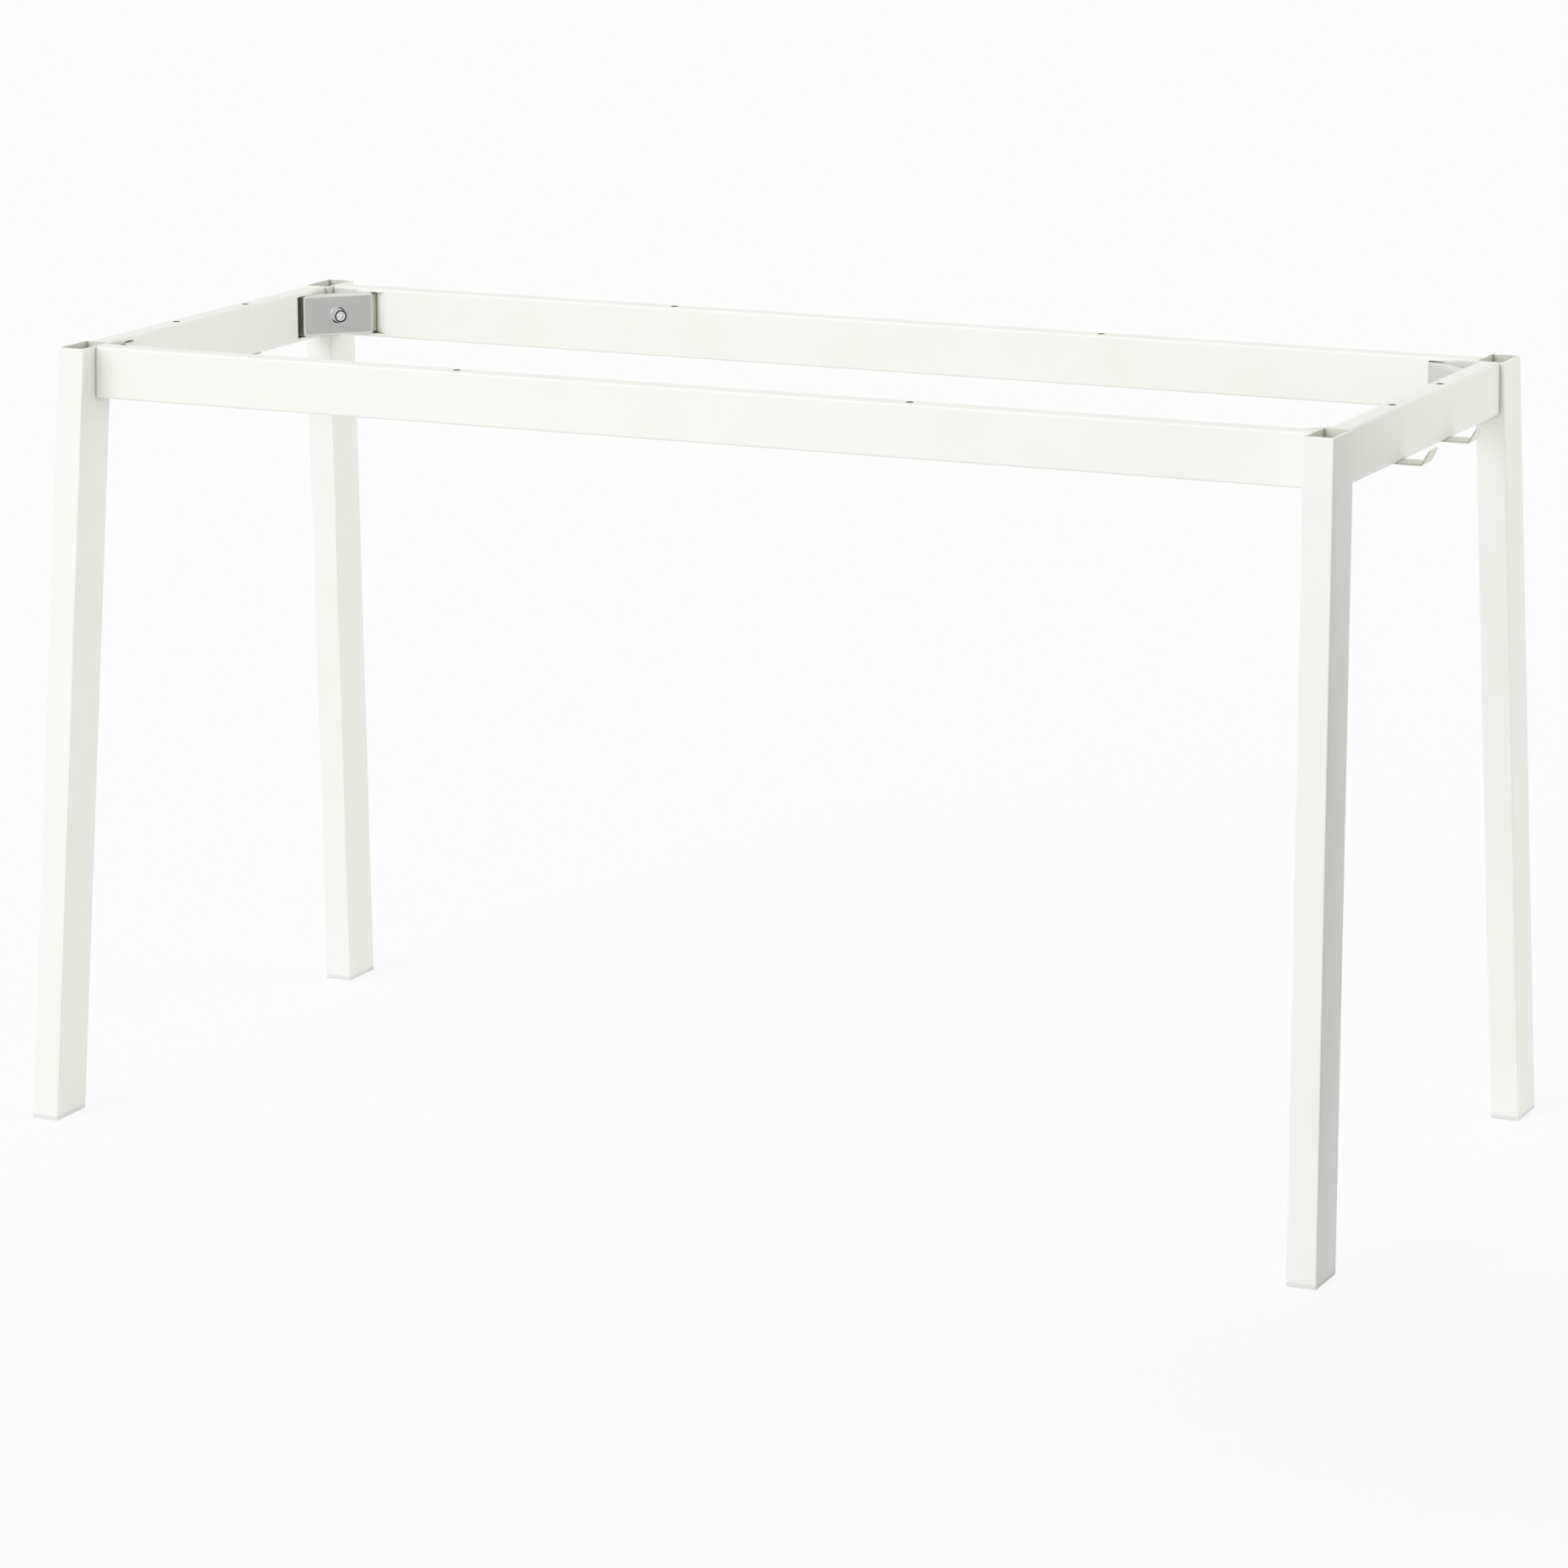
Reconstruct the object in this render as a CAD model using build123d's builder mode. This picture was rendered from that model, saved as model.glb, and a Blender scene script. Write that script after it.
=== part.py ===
from build123d import *
from math import cos, radians, sin, sqrt, tan
import os

# A steel table underframe that bolts together: four splayed tube legs and a ring of four tube rails,
# drawn up tight by a bracket and a bolt across each inner corner.
# X runs along the table, Y across it and Z up. The origin is on the floor, midway between the legs.

# Overall sizes, over the outer faces of the legs
HEIGHT = 720.0
TOP_LENGTH = 1232.0
TOP_WIDTH = 510.0
SPLAY_LENGTH = 18.5  # how far a foot stands outside the top of its leg, along X
SPLAY_WIDTH = 53.0  # and along Y

# Leg tube
LEG_WIDTH = 28.0  # along X
LEG_DEPTH = 50.0  # along Y
LEG_WALL = 2.5
LEG_CORNER = 1.5
LEG_RIM = 0.8  # rounding of the tube's cut upper edge

# Rail tube, the same section all round
RAIL_HEIGHT = 48.0
RAIL_THICKNESS = 20.0
RAIL_WALL = 2.0
RAIL_CORNER = 2.5
RAIL_RIM = 0.8  # rounding of the tube's cut ends
LONG_RAIL_SETBACK = 21.0  # from the leg's outer face to the long rail's outer face
SIDE_RAIL_SETBACK = 4.0  # the same for a side rail

# Holes for the screws that hold the table top, drilled right through the rails
SCREW_HOLE = 7.0
LONG_SCREW_SPACING = 440.0
SIDE_SCREW_SPACING = 130.0

# Corner bracket, pressed from sheet
BRACKET_SHEET = 2.0
BRACKET_HEIGHT = 39.0
BRACKET_WEB = 69.0  # between the two bends
BRACKET_STANDOFF = 30.0  # from the leg's inner corner to the web's front face
BRACKET_FLANGE = 13.0
BRACKET_BEND = 1.5  # inside radius
BRACKET_EDGE = 1.8  # outside radius between the web and its flanges
FLANGE_CLEARANCE = 0.5  # between a flange and the rails

# Slots in the rails for the bracket's tongues. A rail fits either side of the frame, turned end for end,
# so at two corners the slots run on towards the middle of the rails and at the other two towards the legs.
SLOT_LENGTH = 15.5
SLOT_FREE_WIDE = 12.0  # free length between the tongue and the middle of the rail, front right and rear left
SLOT_FREE_TIGHT = 0.5  # the same at the front left and rear right
SLOT_HEADROOM = 0.8  # over and under the tongue
TONGUE_REACH = 5.0  # into the rail, from its inner face

# Tab in each slot of a long rail, sheared from the rail's wall and pushed in as far as the tongue
TAB_LENGTH = 14.0
TAB_ANGLE = 27.0
TAB_GAP = 0.3  # sheared clear above and below

# Corner bolt, washer and the threaded plate welded inside the leg
BOLT_DIAMETER = 8.0
BOLT_HEAD_DIAMETER = 13.0
BOLT_HEAD_HEIGHT = 8.0
BOLT_SOCKET = 6.0  # across flats
BOLT_SOCKET_DEPTH = 4.5
BOLT_HEAD_EDGE = 0.8
BOLT_END = 3.0  # past the threaded plate
BOLT_CLEARANCE = 0.5  # around the shank, in the leg, the bracket and the washer
THREAD_CLEARANCE = 0.05
WASHER_DIAMETER = 17.0
WASHER_THICKNESS = 1.6
NUT_PLATE_THICKNESS = 5.0
NUT_PLATE_HEIGHT = 30.0
NUT_PLATE_DEPTH = 7.0  # from the tube's inside corner to the plate

# Foot cap, pressed into the lower end of a leg
FOOT_HEIGHT = 4.0
FOOT_EDGE = 1.2
FOOT_PLUG = 18.0
FOOT_WALL = 2.0
FOOT_CLEARANCE = 0.15

# Hook, a strip welded under a side rail
HOOK_WIDTH = 25.0
HOOK_SHEET = 1.2
HOOK_REACH = 22.0  # from the rail's outer face to the bend
HOOK_LIP = 15.5
HOOK_ANGLE = 62.0  # of the lip above the level
HOOK_BEND = 1.0  # inside radius
HOOK_TIP = 6.0

# Places worked out from the sizes above, in the quarter where X and Y are positive
DIAGONAL = sqrt(2)
RAIL_Z = HEIGHT - RAIL_HEIGHT / 2
RAIL_UNDERSIDE = HEIGHT - RAIL_HEIGHT
SIDE_RAIL_X = TOP_LENGTH / 2 - SIDE_RAIL_SETBACK - RAIL_THICKNESS / 2
LONG_RAIL_Y = TOP_WIDTH / 2 - LONG_RAIL_SETBACK - RAIL_THICKNESS / 2
SIDE_RAIL_OUTER_X = SIDE_RAIL_X + RAIL_THICKNESS / 2
SIDE_RAIL_INNER_X = SIDE_RAIL_X - RAIL_THICKNESS / 2
LONG_RAIL_INNER_Y = LONG_RAIL_Y - RAIL_THICKNESS / 2

# The leg's inner corner level with the middle of the rails, where the bolt goes in
LEAN_DROP = 1 - RAIL_Z / HEIGHT
CORNER_X = TOP_LENGTH / 2 - LEG_WIDTH + SPLAY_LENGTH * LEAN_DROP
CORNER_Y = TOP_WIDTH / 2 - LEG_DEPTH + SPLAY_WIDTH * LEAN_DROP

# The middle of the bracket's web and its two bends, on the front face
WEB_X = CORNER_X - BRACKET_STANDOFF / DIAGONAL
WEB_Y = CORNER_Y - BRACKET_STANDOFF / DIAGONAL
WEB_RISE = BRACKET_WEB / 2 / DIAGONAL
SIDE_BEND = (WEB_X + WEB_RISE, WEB_Y - WEB_RISE)
LONG_BEND = (WEB_X - WEB_RISE, WEB_Y + WEB_RISE)

# The rear edge of the bracket's flanges crosses the corner too, and the rails cut its ends off
FLANGE_REAR = SIDE_BEND[0] + SIDE_BEND[1] + BRACKET_FLANGE * DIAGONAL
FLANGE_SPAN_X = 2 * (SIDE_RAIL_INNER_X - FLANGE_CLEARANCE)
FLANGE_SPAN_Y = 2 * (LONG_RAIL_INNER_Y - FLANGE_CLEARANCE)

SLOT_HEIGHT = BRACKET_HEIGHT + 2 * SLOT_HEADROOM
SLOT_CUT = 3 * RAIL_WALL  # centred on the rail's inner face, so it goes through one wall only
TAB_HEIGHT = SLOT_HEIGHT - 2 * TAB_GAP
TAB_BASE_Z = RAIL_Z - TAB_HEIGHT / 2

NUT_PLATE_BACK = NUT_PLATE_DEPTH + NUT_PLATE_THICKNESS
BOLT_REACH = LEG_WALL * DIAGONAL + NUT_PLATE_BACK + BOLT_END  # past the leg's inner corner
BOLT_LENGTH = WASHER_THICKNESS + BRACKET_STANDOFF + BOLT_REACH
BOLT_HOLE = BOLT_DIAMETER + 2 * BOLT_CLEARANCE

# The clear way for a bolt, from in front of the bracket to inside the leg
PATH_START = BRACKET_STANDOFF + BRACKET_SHEET
PATH_LENGTH = PATH_START + LEG_WALL * DIAGONAL + BOLT_HOLE / 2
PATH_ALIGN = (Align.CENTER, Align.CENTER, Align.MAX)

CORNERS = {"front_left": (-1, -1), "front_right": (1, -1), "rear_left": (-1, 1), "rear_right": (1, 1)}


def leg_centre(x_side, y_side, z):
    """Centre of a leg's section at height z."""
    drop = 1 - z / HEIGHT
    x = TOP_LENGTH / 2 - LEG_WIDTH / 2 + SPLAY_LENGTH * drop
    y = TOP_WIDTH / 2 - LEG_DEPTH / 2 + SPLAY_WIDTH * drop
    return x_side * x, y_side * y


def leg_axis(x_side, y_side):
    """The way a leg leans, from the floor to its top."""
    return Vector(-x_side * SPLAY_LENGTH, -y_side * SPLAY_WIDTH, HEIGHT)


def along_leg(rise):
    """Length along a leg that climbs by rise."""
    return rise * leg_axis(1, 1).length / HEIGHT


def bolt_plane(x_side, y_side, from_corner):
    """Plane square to a corner bolt, facing the frame's middle, some way in from the leg's inner corner."""
    step = from_corner / DIAGONAL
    origin = (x_side * (CORNER_X - step), y_side * (CORNER_Y - step), RAIL_Z)
    return Plane(origin=origin, x_dir=(0, 0, 1), z_dir=(-x_side, -y_side, 0))


def slot_middle(x_side, y_side, bend):
    """Middle of a slot along its rail, from where the bracket's tongue bends into that rail."""
    free = SLOT_FREE_WIDE if x_side * y_side < 0 else SLOT_FREE_TIGHT
    return bend - free + SLOT_LENGTH / 2


def tab_outline(x_side, y_side):
    """The tab in a long rail's slot in plan, from where it stays joined to the rail."""
    lean = radians(TAB_ANGLE)
    away = -x_side * y_side  # along the rail, from the tab's joint to its free end
    joint = slot_middle(x_side, y_side, LONG_BEND[0]) - away * SLOT_LENGTH / 2
    reach, depth = TAB_LENGTH * cos(lean), TAB_LENGTH * sin(lean)
    points = [
        (joint, 0),
        (joint + away * reach, depth),
        (joint + away * (reach - RAIL_WALL * sin(lean)), depth + RAIL_WALL * cos(lean)),
        (joint, RAIL_WALL),
    ]
    return [(x_side * x, y_side * (LONG_RAIL_INNER_Y + y)) for x, y in points]


def make_leg(x_side, y_side):
    """One leg: a leaning tube, open at the top, with a bolt hole through its inner corner."""
    with BuildPart() as leg:
        with BuildSketch(Plane.XY.offset(FOOT_HEIGHT)):
            with Locations(leg_centre(x_side, y_side, FOOT_HEIGHT)):
                RectangleRounded(LEG_WIDTH, LEG_DEPTH, LEG_CORNER)
                Rectangle(LEG_WIDTH - 2 * LEG_WALL, LEG_DEPTH - 2 * LEG_WALL, mode=Mode.SUBTRACT)
        extrude(amount=along_leg(HEIGHT - FOOT_HEIGHT), dir=leg_axis(x_side, y_side))
        fillet(leg.faces().sort_by(Axis.Z)[-1].outer_wire().edges(), radius=LEG_RIM)
        with Locations(bolt_plane(x_side, y_side, PATH_START)):
            Cylinder(BOLT_HOLE / 2, PATH_LENGTH, align=PATH_ALIGN, mode=Mode.SUBTRACT)
    return leg.part


def make_foot(x_side, y_side):
    """One foot: a cap flush with the leg's sides and a hollow plug inside the tube."""
    axis = leg_axis(x_side, y_side)
    plug_width = LEG_WIDTH - 2 * LEG_WALL - 2 * FOOT_CLEARANCE
    plug_depth = LEG_DEPTH - 2 * LEG_WALL - 2 * FOOT_CLEARANCE
    with BuildPart() as foot:
        with BuildSketch():
            with Locations(leg_centre(x_side, y_side, 0)):
                RectangleRounded(LEG_WIDTH, LEG_DEPTH, LEG_CORNER)
        extrude(amount=along_leg(FOOT_HEIGHT), dir=axis)
        fillet(foot.faces().sort_by(Axis.Z)[0].edges(), radius=FOOT_EDGE)
        with BuildSketch(Plane.XY.offset(FOOT_HEIGHT)):
            with Locations(leg_centre(x_side, y_side, FOOT_HEIGHT)):
                Rectangle(plug_width, plug_depth)
                Rectangle(plug_width - 2 * FOOT_WALL, plug_depth - 2 * FOOT_WALL, mode=Mode.SUBTRACT)
        extrude(amount=along_leg(FOOT_PLUG), dir=axis)
    return foot.part


def make_nut_plate(x_side, y_side):
    """One threaded plate, set across the inside corner of a leg and welded to both its walls."""
    low_z = RAIL_Z - NUT_PLATE_HEIGHT / 2
    centre_x, centre_y = leg_centre(1, 1, low_z)
    inside_x = centre_x - LEG_WIDTH / 2 + LEG_WALL
    inside_y = centre_y - LEG_DEPTH / 2 + LEG_WALL
    near = NUT_PLATE_DEPTH * DIAGONAL
    far = NUT_PLATE_BACK * DIAGONAL
    outline = [
        (x_side * (inside_x + near), y_side * inside_y),
        (x_side * (inside_x + far), y_side * inside_y),
        (x_side * inside_x, y_side * (inside_y + far)),
        (x_side * inside_x, y_side * (inside_y + near)),
    ]
    with BuildPart() as nut_plate:
        with BuildSketch(Plane.XY.offset(low_z)):
            with BuildLine():
                Polyline(*outline, close=True)
            make_face()
        extrude(amount=along_leg(NUT_PLATE_HEIGHT), dir=leg_axis(x_side, y_side))
        with BuildSketch(bolt_plane(x_side, y_side, 0)):
            Circle(BOLT_DIAMETER / 2 + THREAD_CLEARANCE)
        extrude(amount=-2 * BOLT_REACH, mode=Mode.SUBTRACT)
    return nut_plate.part


def make_long_rail(y_side):
    """A front or rear rail, its ends cut to the lean of the legs, slotted inside for two brackets."""
    with BuildPart() as rail:
        with BuildSketch(Plane.YZ):
            with Locations((y_side * LONG_RAIL_Y, RAIL_Z)):
                RectangleRounded(RAIL_THICKNESS, RAIL_HEIGHT, RAIL_CORNER)
                Rectangle(RAIL_THICKNESS - 2 * RAIL_WALL, RAIL_HEIGHT - 2 * RAIL_WALL, mode=Mode.SUBTRACT)
        extrude(amount=TOP_LENGTH / 2, both=True)
        for x_side in (-1, 1):
            leg_face = (x_side * (TOP_LENGTH / 2 - LEG_WIDTH), 0, HEIGHT)
            split(bisect_by=Plane(leg_face, z_dir=(x_side * HEIGHT, 0, SPLAY_LENGTH)), keep=Keep.BOTTOM)
        ends = rail.faces().sort_by(Axis.X)
        fillet(ends[0].outer_wire().edges() + ends[-1].outer_wire().edges(), radius=RAIL_RIM)
        with BuildSketch(Plane.XY.offset(HEIGHT)):
            with Locations((0, y_side * LONG_RAIL_Y)):
                with GridLocations(LONG_SCREW_SPACING, 0, 2, 1):
                    Circle(SCREW_HOLE / 2)
        extrude(amount=-RAIL_HEIGHT, mode=Mode.SUBTRACT)
        for x_side in (-1, 1):
            slot_x = x_side * slot_middle(x_side, y_side, LONG_BEND[0])
            with Locations((slot_x, y_side * LONG_RAIL_INNER_Y, RAIL_Z)):
                Box(SLOT_LENGTH, SLOT_CUT, SLOT_HEIGHT, mode=Mode.SUBTRACT)
            with BuildSketch(Plane.XY.offset(TAB_BASE_Z)):
                with BuildLine():
                    Polyline(*tab_outline(x_side, y_side), close=True)
                make_face()
            extrude(amount=TAB_HEIGHT)
            with Locations(bolt_plane(x_side, y_side, PATH_START)):
                Cylinder(BOLT_HOLE / 2, PATH_LENGTH, align=PATH_ALIGN, mode=Mode.SUBTRACT)
    return rail.part


def make_side_rail(x_side):
    """A left or right rail, its ends cut to the lean of the legs, slotted inside for two brackets."""
    with BuildPart() as rail:
        with BuildSketch(Plane.XZ):
            with Locations((x_side * SIDE_RAIL_X, RAIL_Z)):
                RectangleRounded(RAIL_THICKNESS, RAIL_HEIGHT, RAIL_CORNER)
                Rectangle(RAIL_THICKNESS - 2 * RAIL_WALL, RAIL_HEIGHT - 2 * RAIL_WALL, mode=Mode.SUBTRACT)
        extrude(amount=TOP_WIDTH / 2, both=True)
        for y_side in (-1, 1):
            leg_face = (0, y_side * (TOP_WIDTH / 2 - LEG_DEPTH), HEIGHT)
            split(bisect_by=Plane(leg_face, z_dir=(0, y_side * HEIGHT, SPLAY_WIDTH)), keep=Keep.BOTTOM)
        ends = rail.faces().sort_by(Axis.Y)
        fillet(ends[0].outer_wire().edges() + ends[-1].outer_wire().edges(), radius=RAIL_RIM)
        with BuildSketch(Plane.XY.offset(HEIGHT)):
            with Locations((x_side * SIDE_RAIL_X, 0)):
                with GridLocations(0, SIDE_SCREW_SPACING, 1, 2):
                    Circle(SCREW_HOLE / 2)
        extrude(amount=-RAIL_HEIGHT, mode=Mode.SUBTRACT)
        for y_side in (-1, 1):
            slot_y = y_side * slot_middle(x_side, y_side, SIDE_BEND[1])
            with Locations((x_side * SIDE_RAIL_INNER_X, slot_y, RAIL_Z)):
                Box(SLOT_CUT, SLOT_LENGTH, SLOT_HEIGHT, mode=Mode.SUBTRACT)
            with Locations(bolt_plane(x_side, y_side, PATH_START)):
                Cylinder(BOLT_HOLE / 2, PATH_LENGTH, align=PATH_ALIGN, mode=Mode.SUBTRACT)
    return rail.part


def bracket_line(x_side, y_side, side_turn, long_turn):
    """A bent line across a corner in plan, from inside the side rail to inside the long rail."""
    side_tip = (SIDE_RAIL_INNER_X + TONGUE_REACH, side_turn[1])
    long_tip = (long_turn[0], LONG_RAIL_INNER_Y + TONGUE_REACH)
    points = [side_tip, side_turn, long_turn, long_tip]
    return [(x_side * x, y_side * y) for x, y in points]


def make_bracket(x_side, y_side):
    """One corner bracket: a web across the corner, flanges above and below, and a tongue into each rail."""
    base_z = RAIL_Z - BRACKET_HEIGHT / 2
    miter = BRACKET_SHEET * (DIAGONAL - 1)
    back_side = (SIDE_BEND[0] + miter, SIDE_BEND[1] + BRACKET_SHEET)
    back_long = (LONG_BEND[0] + BRACKET_SHEET, LONG_BEND[1] + miter)
    front_points = bracket_line(x_side, y_side, SIDE_BEND, LONG_BEND)
    back_points = bracket_line(x_side, y_side, back_side, back_long)
    rear_points = [
        (x_side * SIDE_RAIL_X, y_side * (FLANGE_REAR - SIDE_RAIL_X)),
        (x_side * (FLANGE_REAR - LONG_RAIL_Y), y_side * LONG_RAIL_Y),
    ]
    with BuildPart() as bracket:
        with BuildSketch(Plane.XY.offset(base_z)):
            with BuildLine():
                front = FilletPolyline(*front_points, radius=BRACKET_BEND + BRACKET_SHEET)
                back = FilletPolyline(*back_points, radius=BRACKET_BEND)
                Line(front @ 0, back @ 0)
                Line(front @ 1, back @ 1)
            make_face()
        extrude(amount=BRACKET_HEIGHT)
        for flange_z in (base_z, base_z + BRACKET_HEIGHT - BRACKET_SHEET):
            with BuildSketch(Plane.XY.offset(flange_z)):
                with BuildLine():
                    front = FilletPolyline(*front_points, radius=BRACKET_BEND + BRACKET_SHEET)
                    rear = Line(*rear_points)
                    Line(front @ 0, rear @ 0)
                    Line(front @ 1, rear @ 1)
                make_face()
                Rectangle(FLANGE_SPAN_X, FLANGE_SPAN_Y, mode=Mode.INTERSECT)
            extrude(amount=BRACKET_SHEET)
        web = bracket.faces().sort_by(Axis((0, 0, 0), (-x_side, -y_side, 0)))[-1]
        fillet(web.edges().filter_by(Axis.Z, reverse=True), radius=BRACKET_EDGE)
        with Locations(bolt_plane(x_side, y_side, PATH_START)):
            Cylinder(BOLT_HOLE / 2, PATH_LENGTH, align=PATH_ALIGN, mode=Mode.SUBTRACT)
    return bracket.part


def make_hook(x_side, y_side):
    """One hook: a strip under the side rail, its outer end bent up into a lip with rounded corners."""
    lean = radians(HOOK_ANGLE)
    bend_x = SIDE_RAIL_OUTER_X + HOOK_REACH
    tip_x = bend_x + HOOK_LIP * cos(lean)
    tip_z = RAIL_UNDERSIDE - HOOK_SHEET + HOOK_LIP * sin(lean)
    outer_points = [
        (x_side * SIDE_RAIL_INNER_X, RAIL_UNDERSIDE - HOOK_SHEET),
        (x_side * bend_x, RAIL_UNDERSIDE - HOOK_SHEET),
        (x_side * tip_x, tip_z),
    ]
    inner_points = [
        (x_side * SIDE_RAIL_INNER_X, RAIL_UNDERSIDE),
        (x_side * (bend_x - HOOK_SHEET * tan(lean / 2)), RAIL_UNDERSIDE),
        (x_side * (tip_x - HOOK_SHEET * sin(lean)), tip_z + HOOK_SHEET * cos(lean)),
    ]
    hole_y = y_side * SIDE_SCREW_SPACING / 2
    with BuildPart() as hook:
        with BuildSketch(Plane.XZ.offset(-hole_y)):
            with BuildLine():
                outer = FilletPolyline(*outer_points, radius=HOOK_BEND + HOOK_SHEET)
                inner = FilletPolyline(*inner_points, radius=HOOK_BEND)
                Line(outer @ 0, inner @ 0)
                Line(outer @ 1, inner @ 1)
            make_face()
        extrude(amount=HOOK_WIDTH / 2, both=True)
        tip = hook.faces().sort_by(Axis.Z)[-1]
        fillet(tip.edges().sort_by(SortBy.LENGTH)[:2], radius=HOOK_TIP)
        with BuildSketch(Plane.XY.offset(RAIL_UNDERSIDE)):
            with Locations((x_side * SIDE_RAIL_X, hole_y)):
                Circle(SCREW_HOLE / 2)
        extrude(amount=-HOOK_SHEET, mode=Mode.SUBTRACT)
    return hook.part


def save(piece, name):
    """Label a finished piece and write it out."""
    piece.label = name
    export_step(piece, f"parts/{name}.step")


os.makedirs("parts", exist_ok=True)

for corner, sides in CORNERS.items():
    save(make_leg(*sides), f"leg_{corner}")
    save(make_foot(*sides), f"foot_{corner}")
    save(make_nut_plate(*sides), f"nut_plate_{corner}")
    save(make_bracket(*sides), f"bracket_{corner}")

save(make_long_rail(-1), "rail_front")
save(make_long_rail(1), "rail_rear")
save(make_side_rail(-1), "rail_left")
save(make_side_rail(1), "rail_right")

for x_name, x_side in (("left", -1), ("right", 1)):
    for y_name, y_side in (("front", -1), ("rear", 1)):
        save(make_hook(x_side, y_side), f"hook_{x_name}_{y_name}")

# One socket head bolt, its axis along Z, with the underside of its head at Z = 0
with BuildPart() as bolt:
    Cylinder(BOLT_HEAD_DIAMETER / 2, BOLT_HEAD_HEIGHT, align=(Align.CENTER, Align.CENTER, Align.MIN))
    fillet(bolt.edges().sort_by(Axis.Z)[-1], radius=BOLT_HEAD_EDGE)
    with BuildSketch(Plane.XY.offset(BOLT_HEAD_HEIGHT)):
        RegularPolygon(BOLT_SOCKET / 2, side_count=6, major_radius=False)
    extrude(amount=-BOLT_SOCKET_DEPTH, mode=Mode.SUBTRACT)
    Cylinder(BOLT_DIAMETER / 2, BOLT_LENGTH, align=(Align.CENTER, Align.CENTER, Align.MAX))

with BuildPart() as washer:
    Cylinder(WASHER_DIAMETER / 2, WASHER_THICKNESS, align=(Align.CENTER, Align.CENTER, Align.MIN))
    Hole(BOLT_HOLE / 2)

with BuildPart() as corner_bolts:
    with Locations(*[bolt_plane(*s, BRACKET_STANDOFF + WASHER_THICKNESS) for s in CORNERS.values()]):
        add(bolt.part)
save(corner_bolts.part, "corner_bolts")

with BuildPart() as corner_washers:
    with Locations(*[bolt_plane(*s, BRACKET_STANDOFF) for s in CORNERS.values()]):
        add(washer.part)
save(corner_washers.part, "corner_washers")
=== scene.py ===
"""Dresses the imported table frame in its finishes, models its bolts, washers and hooks, and lights it."""

import logging
import math
from contextlib import contextmanager
from dataclasses import dataclass, field
from enum import Enum
from typing import Any, Callable, Iterator

import bmesh
import bpy
from mathutils import Matrix, Vector


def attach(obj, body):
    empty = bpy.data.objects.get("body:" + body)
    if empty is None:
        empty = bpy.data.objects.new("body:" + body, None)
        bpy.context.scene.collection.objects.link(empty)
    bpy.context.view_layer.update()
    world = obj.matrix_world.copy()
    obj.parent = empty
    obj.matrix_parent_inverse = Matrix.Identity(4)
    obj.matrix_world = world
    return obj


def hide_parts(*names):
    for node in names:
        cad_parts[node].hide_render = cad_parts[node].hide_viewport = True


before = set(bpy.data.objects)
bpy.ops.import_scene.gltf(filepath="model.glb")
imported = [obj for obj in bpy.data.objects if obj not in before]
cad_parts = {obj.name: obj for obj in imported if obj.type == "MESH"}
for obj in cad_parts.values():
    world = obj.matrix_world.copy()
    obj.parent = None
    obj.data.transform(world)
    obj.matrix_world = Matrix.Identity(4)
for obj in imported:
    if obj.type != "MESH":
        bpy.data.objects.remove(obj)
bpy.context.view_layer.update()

LOG = logging.getLogger("table_frame")
MM = 0.001
MERGE_MM = 0.001  # points closer than this are merged
SAME_MM = 0.01  # lengths that differ by less than this are the same
FLAT_WEIGHT = 100  # a normal follows the largest face beside it
NOISE_LOW, NOISE_HIGH = 0.3, 0.7  # most of a noise's values lie between these
BODY = "root"


class Corner(Enum):
    """The four corners of the frame, as the side of the middle that each lies on along X and Y."""

    FRONT_LEFT = (-1, -1)
    FRONT_RIGHT = (1, -1)
    REAR_LEFT = (-1, 1)
    REAR_RIGHT = (1, 1)

    @property
    def label(self) -> str:
        """The corner's name as the CAD nodes write it."""
        return self.name.lower()


class Slot(Enum):
    """The record's material slots."""

    PAINT = "white_paint"
    SHEET = "zinc_sheet"
    BRIGHT = "bright_zinc"
    STEEL = "plain_steel"
    PLASTIC = "foot_plastic"


def linear(code: str) -> tuple[float, float, float, float]:
    """Turn an sRGB hex colour into linear light.

    Args:
        code: Six hex digits after a hash sign.

    Returns:
        Red, green, blue and full alpha.
    """
    parts = [int(code[i:i + 2], 16) / 255 for i in (1, 3, 5)]
    red, green, blue = (c / 12.92 if c <= 0.04045 else ((c + 0.055) / 1.055) ** 2.4 for c in parts)
    return red, green, blue, 1.0


def add_node(tree: bpy.types.NodeTree, kind: str, settings: dict[Any, Any] | None = None,
             links: dict[Any, bpy.types.NodeSocket] | None = None,
             stops: tuple[tuple[float, str], ...] = ()) -> bpy.types.Node:
    """Add one shader node with its settings and links.

    Args:
        tree: The node tree that it joins.
        kind: The node's type.
        settings: Values for its input sockets, or for its own properties.
        links: Output sockets of other nodes, by the input that each goes to.
        stops: Where it has a colour ramp, the place and the sRGB hex colour of each stop.

    Returns:
        The new node.
    """
    node = tree.nodes.new(kind)
    for name, value in (settings or {}).items():
        if isinstance(name, int) or name in node.inputs:
            node.inputs[name].default_value = value
        else:
            setattr(node, name, value)
    for name, source in (links or {}).items():
        tree.links.new(source, node.inputs[name])
    if stops:
        for element, (place, code) in zip(node.color_ramp.elements, stops):
            element.position, element.color = place, linear(code)
    return node


def new_tree(name: str) -> tuple[bpy.types.Material, bpy.types.NodeTree]:
    """Make a material with an empty node tree.

    Args:
        name: The material's name.

    Returns:
        The material and its tree.
    """
    material = bpy.data.materials.new(name)
    material.use_nodes = True
    material.node_tree.nodes.clear()
    return material, material.node_tree


def per_metre(size_mm: float) -> float:
    """Noise scale whose features are about this many millimetres wide."""
    return 1 / (size_mm * MM)


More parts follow.
